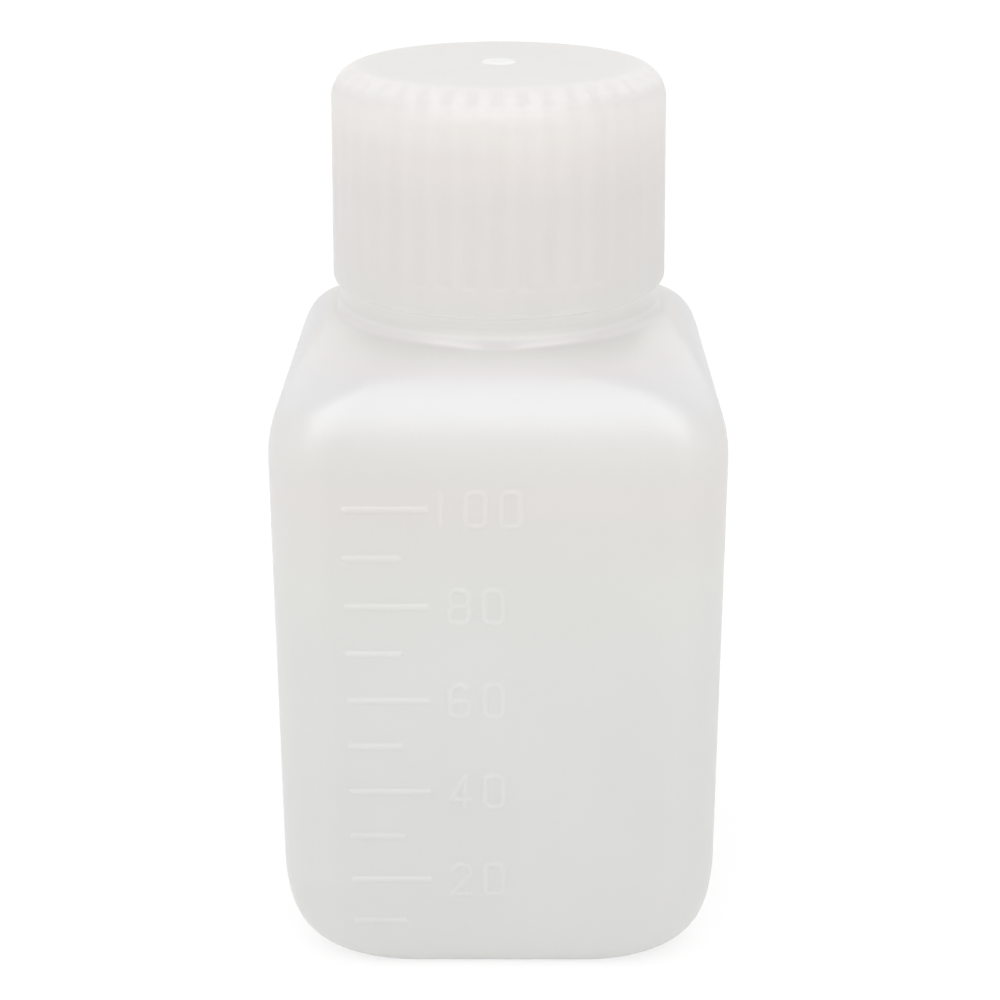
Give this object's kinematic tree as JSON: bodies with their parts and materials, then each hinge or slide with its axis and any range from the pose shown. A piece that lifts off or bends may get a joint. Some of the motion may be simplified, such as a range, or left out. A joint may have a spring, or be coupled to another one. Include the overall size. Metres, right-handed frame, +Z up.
{
  "type": "reagent bottle",
  "caption": "Square translucent plastic reagent bottle with raised volume marks, a ribbed screw cap and a plug seal held in the cap.",
  "frame": {"origin": "on the surface that the bottle stands on, under the middle of the neck", "axes": "+Z up along the neck; -Y out of the face with the graduations; +X to the right when that face is looked at"},
  "size_m": [0.0466, 0.0468, 0.0948],
  "materials": {
    "bottle": "natural translucent high-density polyethylene, faintly waxy",
    "sealing_plug": "natural low-density polyethylene, waxy",
    "screw_cap": "natural polypropylene, satin"
  },
  "bodies": {
    "bottle": {"bottle": "bottle"},
    "plug": {"sealing_plug": "sealing_plug"},
    "cap": {"screw_cap": "screw_cap"}
  },
  "joints": [
    {"name": "cap_lift", "type": "slide", "parent": "bottle", "child": "plug", "axis": [0, 0, 1], "range_m": [0, 0.02]},
    {"name": "cap_turn", "type": "hinge", "parent": "plug", "child": "cap", "pos_m": [0, 0, 0.0834], "axis": [0, 0, 1], "range_deg": [0, 1800]}
  ],
  "couplings": [
    {"joint": "cap_lift", "follows": "cap_turn", "m_per_rad": 0.0006366}
  ]
}
